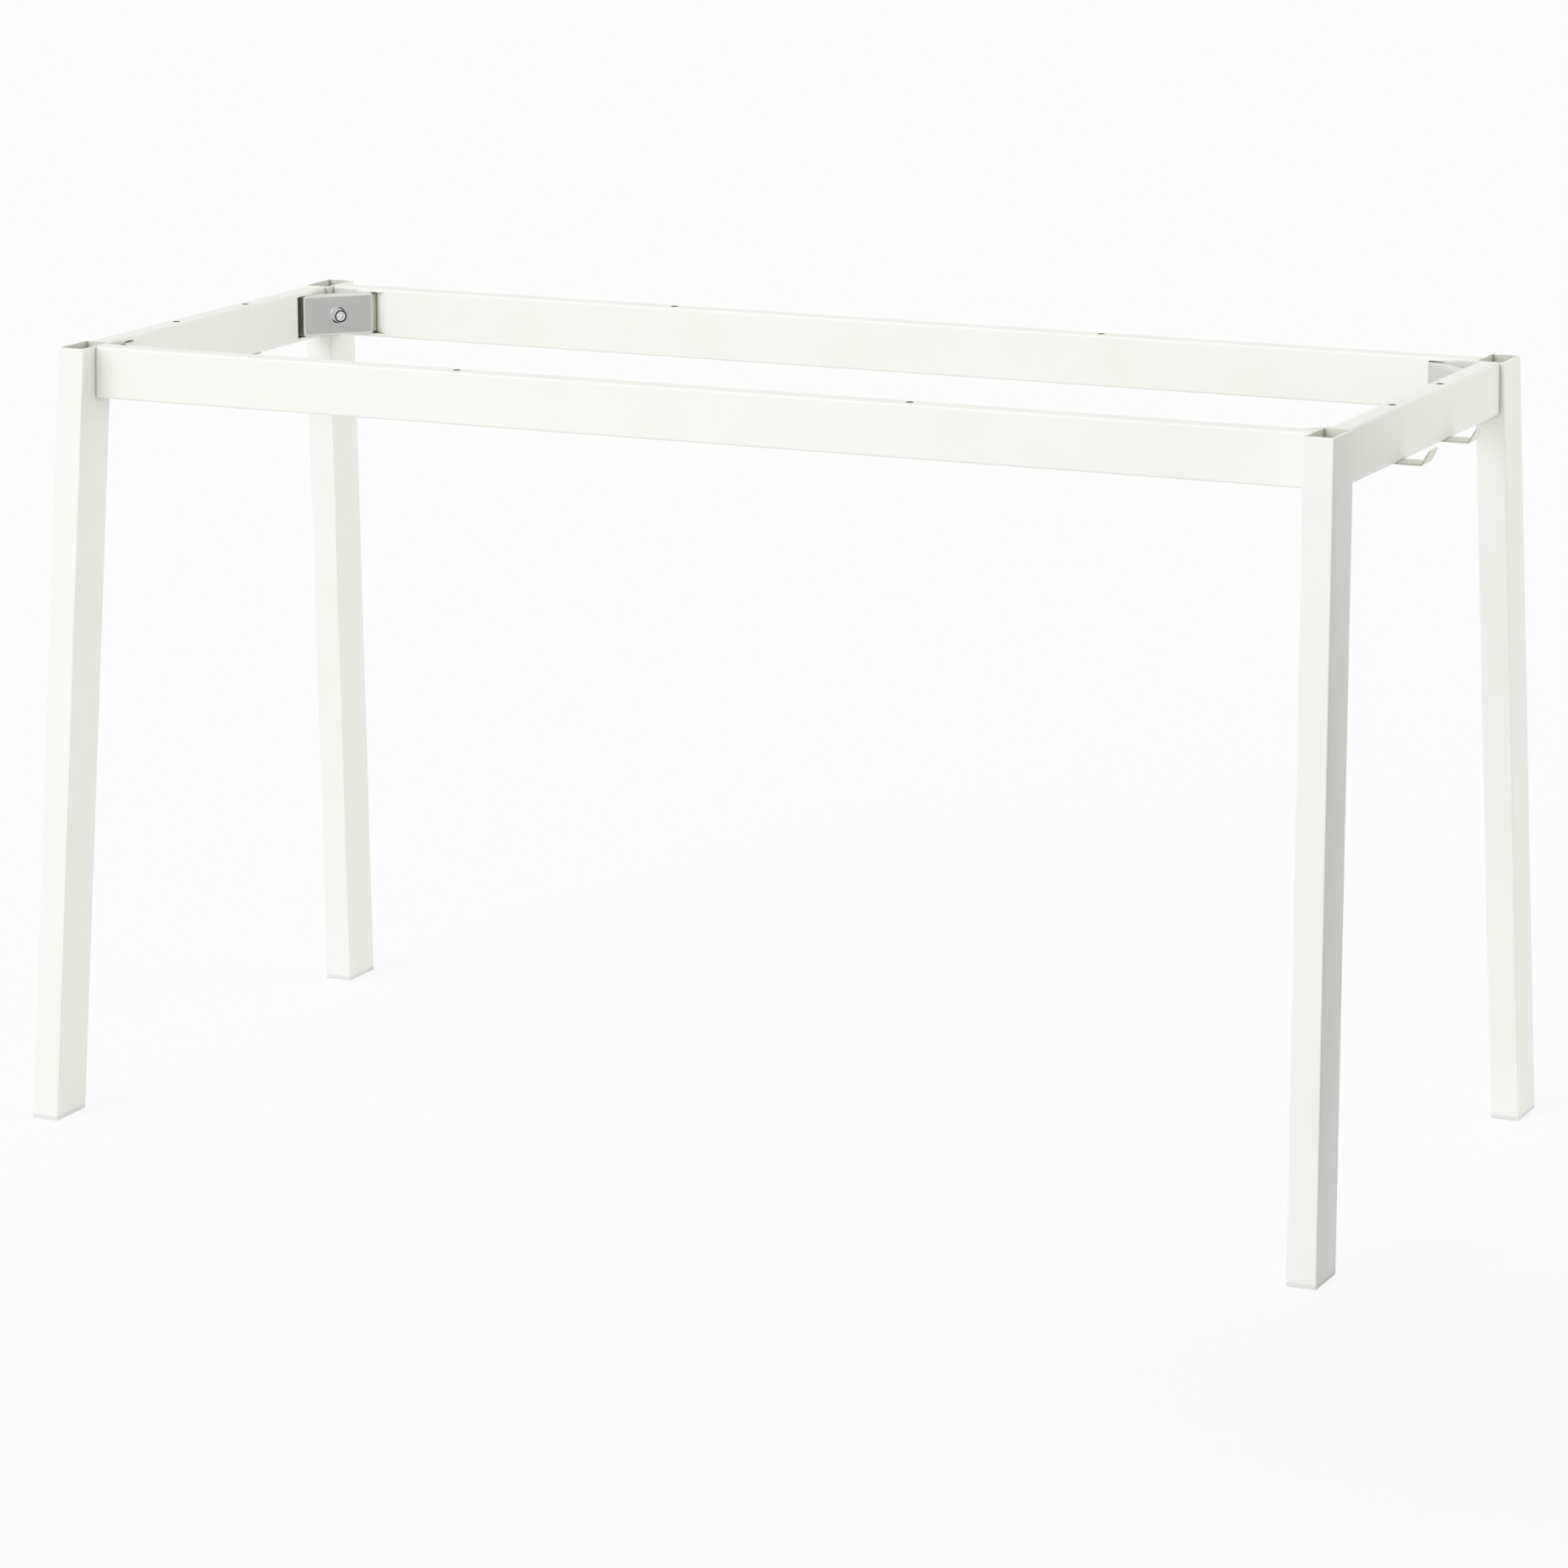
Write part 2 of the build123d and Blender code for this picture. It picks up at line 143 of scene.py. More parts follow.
@dataclass(frozen=True)
class PowderCoat:
    """White polyester powder, sprayed on and baked.

    It flows out as it melts, so it is satin, very slightly wavy like fine orange peel, and softens every
    edge. Inside a tube or a slot the colour is painted darker and olive where little open air is around:
    painted shade of the hollows. On the legs painted shade also darkens the narrow corners where rails
    meet them. The walls of the screw holes are painted dark: painted shade in the holes.
    """

    name: str = "powder_coated_steel_white"
    colour: str = "#F1F1EB"
    shade: str = "#EFEFE8"
    tint_range: tuple[float, float] = (NOISE_LOW, 0.6)
    # colour painted inside tubes and slots: painted shade of the hollows
    thin: str = "#E2E5CF"
    thin_reach_mm: float = 40.0
    thin_cover: tuple[float, float] = (0.55, 0.9)  # share of open air, from full painted shade to none
    # colour painted into the narrow corners where rails meet the legs: painted shade
    corner: str | None = None
    corner_reach_mm: float = 7.0
    corner_cover: tuple[float, float] = (0.4, 0.85)  # share of open air, from full painted shade in a corner to none
    air_samples: int = 8
    # dark colour painted on the walls of the screw holes: painted shade in the holes
    bare: str = "#5E5C53"
    hole_mm: float = 3.6  # the holes' radius and a little more
    hole_places_mm: tuple[tuple[float, float], ...] = ((220.0, 224.0), (602.0, 65.0))  # in one quarter
    cloud_mm: float = 70.0
    peel_mm: float = 2.4  # real peel is nearer 1.5 mm, drawn coarser so that it shows
    peel_depth_mm: float = 0.03
    peel_strength: float = 0.25
    smooth: float = 0.36
    rough: float = 0.46
    ior: float = 1.5

    def build(self) -> bpy.types.Material:
        """Make the material.

        Returns:
            The new material.
        """
        material, tree = new_tree(self.name)
        place = add_node(tree, "ShaderNodeTexCoord").outputs["Object"]
        peel = add_node(tree, "ShaderNodeTexNoise",
                        {"Scale": per_metre(self.peel_mm), "Detail": 2.0, "Roughness": 0.45},
                        {"Vector": place})
        cloud = add_node(tree, "ShaderNodeTexNoise",
                         {"Scale": per_metre(self.cloud_mm), "Detail": 3.0}, {"Vector": place})
        low, high = self.tint_range
        tint = add_node(tree, "ShaderNodeValToRGB", links={"Fac": cloud.outputs["Fac"]},
                        stops=((low, self.shade), (high, self.colour)))
        open_air = add_node(tree, "ShaderNodeAmbientOcclusion",
                            {"only_local": True, "samples": self.air_samples,
                             "Distance": self.thin_reach_mm * MM})
        low, high = self.thin_cover
        hollow_unshaded = add_node(tree, "ShaderNodeMapRange", {"From Min": low, "From Max": high},
                         {"Value": open_air.outputs["AO"]})
        # painted shade: darker and olive where little open air is around, inside tubes and slots
        coat = add_node(tree, "ShaderNodeMix", {"data_type": "RGBA", 6: linear(self.thin)},
                        {0: hollow_unshaded.outputs["Result"], 7: tint.outputs["Color"]})
        if self.corner:
            # painted shade: darker in the corners where rails meet the legs
            corner_air = add_node(tree, "ShaderNodeAmbientOcclusion",
                                  {"samples": self.air_samples, "Distance": self.corner_reach_mm * MM})
            low, high = self.corner_cover
            corner_unshaded = add_node(tree, "ShaderNodeMapRange", {"From Min": low, "From Max": high},
                               {"Value": corner_air.outputs["AO"]})
            coat = add_node(tree, "ShaderNodeMix", {"data_type": "RGBA", 6: linear(self.corner)},
                            {0: corner_unshaded.outputs["Result"], 7: coat.outputs[2]})
        level = add_node(tree, "ShaderNodeVectorMath", {"operation": "MULTIPLY", 1: (1.0, 1.0, 0.0)},
                         {0: place})
        quarter = add_node(tree, "ShaderNodeVectorMath", {"operation": "ABSOLUTE"},
                           {0: level.outputs["Vector"]})
        # painted shade: the walls of the screw holes are painted dark
        for x, y in self.hole_places_mm:
            off = add_node(tree, "ShaderNodeVectorMath",
                           {"operation": "DISTANCE", 1: (x * MM, y * MM, 0.0)},
                           {0: quarter.outputs["Vector"]})
            drilled = add_node(tree, "ShaderNodeMath", {"operation": "LESS_THAN", 1: self.hole_mm * MM},
                               {0: off.outputs["Value"]})
            coat = add_node(tree, "ShaderNodeMix", {"data_type": "RGBA", 7: linear(self.bare)},
                            {0: drilled.outputs[0], 6: coat.outputs[2]})
        gloss = add_node(tree, "ShaderNodeMapRange",
                         {"From Min": NOISE_LOW, "From Max": NOISE_HIGH,
                          "To Min": self.smooth, "To Max": self.rough},
                         {"Value": peel.outputs["Fac"]})
        bump = add_node(tree, "ShaderNodeBump",
                        {"Strength": self.peel_strength, "Distance": self.peel_depth_mm * MM},
                        {"Height": peel.outputs["Fac"]})
        shader = add_node(tree, "ShaderNodeBsdfPrincipled", {"IOR": self.ior},
                          {"Base Color": coat.outputs[2], "Roughness": gloss.outputs["Result"],
                           "Normal": bump.outputs["Normal"]})
        add_node(tree, "ShaderNodeOutputMaterial", links={"Surface": shader.outputs["BSDF"]})
        return material


@dataclass(frozen=True)
class RolledZinc:
    """Zinc-plated rolled steel sheet, pressed and left bare.

    The rolls leave faint lines along the sheet, and the plating greys them to an even satin.
    """

    name: str = "zinc_plated_steel_rolled"
    colour: str = "#DFDFDD"
    shade: str = "#DBDBD9"
    line_mm: float = 0.7  # real rolling lines are nearer 0.1 mm, drawn coarser so that they show
    run_mm: float = 18.0
    smooth: float = 0.34
    rough: float = 0.38
    line_depth_mm: float = 0.003
    line_strength: float = 0.04

    def build(self) -> bpy.types.Material:
        """Make the material.

        Returns:
            The new material.
        """
        material, tree = new_tree(self.name)
        place = add_node(tree, "ShaderNodeTexCoord").outputs["Object"]
        along, across = per_metre(self.run_mm), per_metre(self.line_mm)
        stretch = add_node(tree, "ShaderNodeMapping", {"Scale": (along, along, across)},
                           {"Vector": place})
        lines = add_node(tree, "ShaderNodeTexNoise", {"Scale": 1.0, "Detail": 3.0, "Roughness": 0.6},
                         {"Vector": stretch.outputs["Vector"]})
        tint = add_node(tree, "ShaderNodeValToRGB", links={"Fac": lines.outputs["Fac"]},
                        stops=((NOISE_LOW, self.shade), (NOISE_HIGH, self.colour)))
        gloss = add_node(tree, "ShaderNodeMapRange",
                         {"From Min": NOISE_LOW, "From Max": NOISE_HIGH,
                          "To Min": self.smooth, "To Max": self.rough},
                         {"Value": lines.outputs["Fac"]})
        bump = add_node(tree, "ShaderNodeBump",
                        {"Strength": self.line_strength, "Distance": self.line_depth_mm * MM},
                        {"Height": lines.outputs["Fac"]})
        shader = add_node(tree, "ShaderNodeBsdfPrincipled", {"Metallic": 1.0},
                          {"Base Color": tint.outputs["Color"], "Roughness": gloss.outputs["Result"],
                           "Normal": bump.outputs["Normal"]})
        add_node(tree, "ShaderNodeOutputMaterial", links={"Surface": shader.outputs["BSDF"]})
        return material


@dataclass(frozen=True)
class MottledMetal:
    """A bare or plated metal with a slightly uneven shine.

    Plated fasteners are almost mirrors with a soft cloud in them. Plain mill steel is darker and duller.
    """

    name: str
    colour: str
    shade: str
    smooth: float
    rough: float
    cloud_mm: float

    def build(self) -> bpy.types.Material:
        """Make the material.

        Returns:
            The new material.
        """
        material, tree = new_tree(self.name)
        place = add_node(tree, "ShaderNodeTexCoord").outputs["Object"]
        cloud = add_node(tree, "ShaderNodeTexNoise",
                         {"Scale": per_metre(self.cloud_mm), "Detail": 3.0, "Roughness": 0.6},
                         {"Vector": place})
        tint = add_node(tree, "ShaderNodeValToRGB", links={"Fac": cloud.outputs["Fac"]},
                        stops=((NOISE_LOW, self.shade), (NOISE_HIGH, self.colour)))
        gloss = add_node(tree, "ShaderNodeMapRange",
                         {"From Min": NOISE_LOW, "From Max": NOISE_HIGH,
                          "To Min": self.smooth, "To Max": self.rough},
                         {"Value": cloud.outputs["Fac"]})
        shader = add_node(tree, "ShaderNodeBsdfPrincipled", {"Metallic": 1.0},
                          {"Base Color": tint.outputs["Color"], "Roughness": gloss.outputs["Result"]})
        add_node(tree, "ShaderNodeOutputMaterial", links={"Surface": shader.outputs["BSDF"]})
        return material


@dataclass(frozen=True)
class MouldedPolyethylene:
    """Pale polyethylene, injection moulded against a lightly etched steel mould.

    It is waxy and dull, a little light goes into it, and the etching shows as a fine even grain.
    """

    name: str = "polyethylene_moulded_pale_grey"
    colour: str = "#E6E7E4"
    shade: str = "#DEDFDC"
    grain_mm: float = 0.9  # a real etched grain is nearer 0.2 mm, drawn coarser so that it shows
    grain_depth_mm: float = 0.03
    grain_strength: float = 0.2
    roughness: float = 0.5
    ior: float = 1.51
    depth_mm: float = 1.0
    glow: float = 0.15

    def build(self) -> bpy.types.Material:
        """Make the material.

        Returns:
            The new material.
        """
        material, tree = new_tree(self.name)
        place = add_node(tree, "ShaderNodeTexCoord").outputs["Object"]
        grain = add_node(tree, "ShaderNodeTexNoise",
                         {"Scale": per_metre(self.grain_mm), "Detail": 2.0}, {"Vector": place})
        tint = add_node(tree, "ShaderNodeValToRGB", links={"Fac": grain.outputs["Fac"]},
                        stops=((NOISE_LOW, self.shade), (NOISE_HIGH, self.colour)))
        bump = add_node(tree, "ShaderNodeBump",
                        {"Strength": self.grain_strength, "Distance": self.grain_depth_mm * MM},
                        {"Height": grain.outputs["Fac"]})
        shader = add_node(tree, "ShaderNodeBsdfPrincipled",
                          {"Roughness": self.roughness, "IOR": self.ior, "Subsurface Weight": self.glow,
                           "Subsurface Scale": self.depth_mm * MM},
                          {"Base Color": tint.outputs["Color"], "Normal": bump.outputs["Normal"]})
        add_node(tree, "ShaderNodeOutputMaterial", links={"Surface": shader.outputs["BSDF"]})
        return material


def deselect() -> None:
    """Leave nothing selected, so that the next operator acts on its own piece alone."""
    bpy.ops.object.select_all(action="DESELECT")


def activate(piece: bpy.types.Object) -> None:
    """Select one piece alone and make it the active one.

    Args:
        piece: The piece.
    """
    deselect()
    piece.select_set(True)
    bpy.context.view_layer.objects.active = piece


@contextmanager
def editing(piece: bpy.types.Object) -> Iterator[None]:
    """Open a piece in edit mode for a while.

    Args:
        piece: The piece to open.

    Returns:
        A context that closes the piece again.
    """
    activate(piece)
    bpy.ops.object.mode_set(mode="EDIT")
    yield
    bpy.ops.object.mode_set(mode="OBJECT")


class Kind(Enum):
    """What an edit-mode operator acts on."""

    VERTEX = "VERT"
    EDGE = "EDGE"
    FACE = "FACE"


def pick(piece: bpy.types.Object, kind: Kind, chosen: Callable[[Vector], bool]) -> None:
    """Select only the vertices, edges or faces of an open piece that lie wholly where a test says.

    Args:
        piece: The piece that is open in edit mode.
        kind: What to select.
        chosen: The test of a point, in millimetres.
    """
    bpy.ops.mesh.select_mode(type=kind.value)
    bpy.ops.mesh.select_all(action="DESELECT")
    mesh = bmesh.from_edit_mesh(piece.data)
    items = {Kind.VERTEX: mesh.verts, Kind.EDGE: mesh.edges, Kind.FACE: mesh.faces}[kind]
    for item in items:
        points = [item] if kind is Kind.VERTEX else item.verts
        if all(chosen(point.co / MM) for point in points):
            item.select_set(True)
    mesh.select_flush_mode()
    bmesh.update_edit_mesh(piece.data)


def near(a: float, b: float) -> bool:
    """Whether two lengths in millimetres are the same."""
    return abs(a - b) < SAME_MM


def modify(piece: bpy.types.Object, kind: str, settings: dict[str, Any]) -> None:
    """Add a modifier to a piece and apply it.

    Args:
        piece: The piece that it changes.
        kind: The modifier's type.
        settings: Values for its properties.
    """
    activate(piece)
    bpy.ops.object.modifier_add(type=kind)
    modifier = piece.modifiers[-1]
    for name, value in settings.items():
        setattr(modifier, name, value)
    bpy.ops.object.modifier_apply(modifier=modifier.name)


def combine(piece: bpy.types.Object, tool: bpy.types.Object, operation: str) -> None:
    """Join a tool shape to a piece or cut it away, and remove the tool.

    Args:
        piece: The piece that stays.
        tool: The shape that is used up.
        operation: UNION or DIFFERENCE.
    """
    modify(piece, "BOOLEAN", {"operation": operation, "solver": "EXACT", "object": tool})
    bpy.data.objects.remove(tool)


def tidy(piece: bpy.types.Object, smooth_below: float) -> None:
    """Merge a finished piece's doubles, point its faces outwards and smooth its gentle edges.

    The normals are weighted by area, so flat faces stay flat beside their rounded edges.

    Args:
        piece: The piece.
        smooth_below: The angle in degrees below which an edge looks smooth.
    """
    with editing(piece):
        bpy.ops.mesh.select_all(action="SELECT")
        bpy.ops.mesh.remove_doubles(threshold=MERGE_MM * MM)
        bpy.ops.mesh.normals_make_consistent(inside=False)
    bpy.ops.object.shade_smooth_by_angle(angle=math.radians(smooth_below))
    modify(piece, "WEIGHTED_NORMAL", {"keep_sharp": True, "weight": FLAT_WEIGHT})


def copy_to(master: bpy.types.Object, name: str, place: Matrix) -> bpy.types.Object:
    """Copy a finished shape, with a mesh of its own, and settle the copy in its place.

    Args:
        master: The shape, modelled at the origin.
        name: The copy's name.
        place: Where it goes, in metres.

    Returns:
        The copy, its place in its mesh.
    """
    activate(master)
    bpy.ops.object.duplicate(linked=False)
    piece = bpy.context.object
    piece.name = name
    piece.matrix_world = place
    bpy.ops.object.transform_apply(location=True, rotation=True, scale=True)
    return piece


def enter(piece: bpy.types.Object, slot: Slot, node: str, *materials: bpy.types.Material) -> None:
    """Dress a piece, put it on the frame and let it stand for its CAD node.

    Args:
        piece: The finished piece.
        slot: The record's slot for its finish. Not used.
        node: The CAD node that it replaces.
        materials: Its finish, and any others that its faces already point to.
    """
    for material in materials:
        piece.data.materials.append(material)
    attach(piece, BODY)
    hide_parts(node)
    LOG.info("built %s with %d faces, in %s", piece.name, len(piece.data.polygons), materials[0].name)


@dataclass
class CornerSeat:
    """Where a corner's bolt goes in: the leg's inner corner at mid-rail height, in millimetres."""

    corner_x: float = 588.617
    corner_y: float = 206.767
    level: float = 696.0

    def place(self, corner: Corner, from_leg: float) -> Matrix:
        """The frame of a part that lies square to the bolt, its Z towards the middle of the table.

        Args:
            corner: Which corner.
            from_leg: How far it lies from the leg's inner corner, in millimetres.

        Returns:
            Its place, in metres.
        """
        x_side, y_side = corner.value
        step = from_leg / math.sqrt(2)
        x, y = x_side * (self.corner_x - step), y_side * (self.corner_y - step)
        origin = Vector((x, y, self.level)) * MM
        inwards = Vector((-x_side, -y_side, 0)).normalized()
        up = Vector((0, 0, 1))
        turn = Matrix((up, inwards.cross(up), inwards)).transposed()
        return Matrix.Translation(origin) @ turn.to_4x4()


@dataclass
class SocketBolt:
    """The bolt at each corner: a knurled head with a hexagon socket, a plain shank and a rolled thread.

    Sizes are in millimetres, and levels count from the underside of the head.
    """

    head_diameter: float = 13.0
    head_height: float = 8.0
    head_edge: float = 0.35
    knurls: int = 44
    knurl_depth: float = 0.22
    knurl_from: float = 0.7
    knurl_to: float = 7.0
    mouth_diameter: float = 9.0
    mouth_bottom: float = 6.5
    mouth_depth: float = 0.7
    socket: float = 6.0
    socket_depth: float = 4.5
    socket_point: float = 1.2
    shank_diameter: float = 8.0
    shank_length: float = 22.0
    length: float = 50.13
    pitch: float = 1.25
    crest: float = 3.96
    root: float = 3.23
    turns: int = 25
    turn_steps: int = 36
    end_taper: float = 0.9
    end_shrink: float = 0.8
    overlap: float = 0.5  # how far the thread goes up into the shank
    cut_past: float = 1.0  # how far the socket's cutter stands out of the head
    from_leg: float = 31.6
    edge_steps: int = 6
    smooth_below: float = 20.0

    def model_head(self) -> bpy.types.Object:
        """Model the head and the plain shank.

        Returns:
            The shape, its axis along Z and the underside of its head at the origin.
        """
        radius, top = self.head_diameter / 2, self.head_height
        deselect()
        bpy.ops.mesh.primitive_cylinder_add(vertices=2 * self.knurls, radius=radius * MM, depth=top * MM,
                                            location=(0, 0, top / 2 * MM))
        bolt = bpy.context.object
        bpy.ops.object.transform_apply(location=True)
        with editing(bolt):
            for level in (self.knurl_from, self.knurl_to):
                bpy.ops.mesh.select_all(action="SELECT")
                bpy.ops.mesh.bisect(plane_co=(0, 0, level * MM), plane_no=(0, 0, 1))
            pick(bolt, Kind.VERTEX, self.in_groove)
            shrink = 1 - self.knurl_depth / radius
            bpy.ops.transform.resize(value=(shrink, shrink, 1), center_override=(0, 0, 0))
            pick(bolt, Kind.EDGE, lambda at: near(at.z, top))
            bpy.ops.mesh.bevel(offset=self.head_edge * MM, segments=self.edge_steps, affect="EDGES")
            pick(bolt, Kind.FACE, lambda at: near(at.z, top))
            bpy.ops.mesh.inset(thickness=(radius - self.head_edge - self.mouth_diameter / 2) * MM)
            bpy.ops.mesh.inset(thickness=(self.mouth_diameter - self.mouth_bottom) / 2 * MM,
                               depth=-self.mouth_depth * MM)
            pick(bolt, Kind.FACE, lambda at: near(at.z, 0))
            bpy.ops.mesh.inset(thickness=(radius - self.shank_diameter / 2) * MM)
            down = (0, 0, -self.shank_length * MM)
            bpy.ops.mesh.extrude_region_move(TRANSFORM_OT_translate={"value": down})
        return bolt

    def in_groove(self, at: Vector) -> bool:
        """Whether a point of the head lies at the bottom of a knurled groove."""
        step = round(math.atan2(at.y, at.x) / math.pi * self.knurls)
        return step % 2 == 1 and (near(at.z, self.knurl_from) or near(at.z, self.knurl_to))

    def model_thread(self) -> bpy.types.Object:
        """Wind one pitch of the thread's outline round the shank, and close both ends.

        Returns:
            The threaded end as a closed shape.
        """
        # the outline of a metric thread: a flat root, a flank, a narrow crest and the other flank
        depth, quarter, flank = self.crest - self.root, self.pitch / 4, self.pitch * 5 / 16
        steps = [(0, quarter), (depth, flank), (0, self.pitch - quarter - 2 * flank), (-depth, flank)]
        low = -self.length + self.end_taper
        deselect()
        bpy.ops.mesh.primitive_plane_add(size=MM)
        thread = bpy.context.object
        with editing(thread):
            bpy.ops.mesh.select_all(action="SELECT")
            bpy.ops.mesh.merge(type="CENTER")
            bpy.ops.transform.translate(value=(self.root * MM, 0, (low - 1.5 * self.pitch) * MM))
            for out, up in steps:
                way = (out * MM, 0, up * MM)
                bpy.ops.mesh.extrude_vertices_move(TRANSFORM_OT_translate={"value": way})
        modify(thread, "SCREW", {"axis": "Z", "angle": 2 * math.pi, "screw_offset": self.pitch * MM,
                                 "iterations": self.turns, "steps": self.turn_steps,
                                 "render_steps": self.turn_steps})
        with editing(thread):
            bpy.ops.mesh.select_all(action="SELECT")
            bpy.ops.mesh.remove_doubles(threshold=MERGE_MM * MM)
            high = self.overlap - self.shank_length
            bpy.ops.mesh.bisect(plane_co=(0, 0, high * MM), plane_no=(0, 0, 1),
                                use_fill=True, clear_outer=True)
            bpy.ops.mesh.select_all(action="SELECT")
            bpy.ops.mesh.bisect(plane_co=(0, 0, low * MM), plane_no=(0, 0, 1),
                                use_fill=True, clear_inner=True)
            pick(thread, Kind.FACE, lambda at: near(at.z, low))
            down = (0, 0, -self.end_taper * MM)
            bpy.ops.mesh.extrude_region_move(TRANSFORM_OT_translate={"value": down})
            shrink = (self.end_shrink, self.end_shrink, 1)
            bpy.ops.transform.resize(value=shrink, center_override=(0, 0, 0))
            bpy.ops.mesh.select_all(action="SELECT")
            bpy.ops.mesh.normals_make_consistent(inside=False)
        return thread

    def model_socket(self) -> bpy.types.Object:
        """Model the hexagon that is pressed out of the head, with the drill's point below it.

        Returns:
            The shape to cut away.
        """
        low, high = self.head_height - self.socket_depth, self.head_height + self.cut_past
        deselect()
        bpy.ops.mesh.primitive_cylinder_add(vertices=6, radius=self.socket / math.sqrt(3) * MM,
                                            depth=(high - low) * MM,
                                            location=(0, 0, (high + low) / 2 * MM))
        hexagon = bpy.context.object
        bpy.ops.object.transform_apply(location=True)
        with editing(hexagon):
            pick(hexagon, Kind.FACE, lambda at: near(at.z, low))
            down = (0, 0, -self.socket_point * MM)
            bpy.ops.mesh.extrude_region_move(TRANSFORM_OT_translate={"value": down})
            bpy.ops.mesh.merge(type="CENTER")
        return hexagon

    def build(self, seat: CornerSeat, material: bpy.types.Material) -> None:
        """Model one bolt and put a copy of it in each corner.

        Args:
            seat: Where the corners are.
            material: The bolts' finish.
        """
        bolt = self.model_head()
        combine(bolt, self.model_thread(), "UNION")
        combine(bolt, self.model_socket(), "DIFFERENCE")
        tidy(bolt, self.smooth_below)
        for corner in Corner:
            piece = copy_to(bolt, f"socket_bolt_{corner.label}", seat.place(corner, self.from_leg))
            enter(piece, Slot.BRIGHT, "corner_bolts", material)
        bpy.data.objects.remove(bolt)


@dataclass
class StampedWasher:
    """The washer under each bolt head, its upper edges rounded by the punch.

    Sizes are in millimetres.
    """

    diameter: float = 17.0
    hole: float = 9.0
    thickness: float = 1.6
    outer_edge: float = 0.45
    inner_edge: float = 0.2
    from_leg: float = 30.0
    sides: int = 72
    edge_steps: int = 5
    smooth_below: float = 25.0

    def model(self) -> bpy.types.Object:
        """Model one washer.

        Returns:
            The shape, its axis along Z and its lower face at the origin.
        """
        outer, inner, top = self.diameter / 2, self.hole / 2, self.thickness
        shrink = (inner / outer, inner / outer, 1)
        deselect()
        bpy.ops.mesh.primitive_cylinder_add(vertices=self.sides, radius=outer * MM, depth=top * MM,
                                            location=(0, 0, top / 2 * MM), end_fill_type="NOTHING")
        washer = bpy.context.object
        bpy.ops.object.transform_apply(location=True)
        with editing(washer):
            for level in (0, top):
                pick(washer, Kind.EDGE, lambda at: near(at.z, level))
                bpy.ops.mesh.extrude_region_move()
                bpy.ops.transform.resize(value=shrink, center_override=(0, 0, 0))
            pick(washer, Kind.EDGE, lambda at: near(at.xy.length, inner))
            bpy.ops.mesh.bridge_edge_loops()
            for radius, edge in ((outer, self.outer_edge), (inner, self.inner_edge)):
                pick(washer, Kind.EDGE, lambda at: near(at.z, top) and near(at.xy.length, radius))
                bpy.ops.mesh.bevel(offset=edge * MM, segments=self.edge_steps, affect="EDGES")
        tidy(washer, self.smooth_below)
        return washer

    def build(self, seat: CornerSeat, material: bpy.types.Material) -> None:
        """Model one washer and put a copy of it in each corner.

        Args:
            seat: Where the corners are.
            material: The washers' finish.
        """
        washer = self.model()
        for corner in Corner:
            piece = copy_to(washer, f"stamped_washer_{corner.label}", seat.place(corner, self.from_leg))
            enter(piece, Slot.BRIGHT, "corner_washers", material)
        bpy.data.objects.remove(washer)


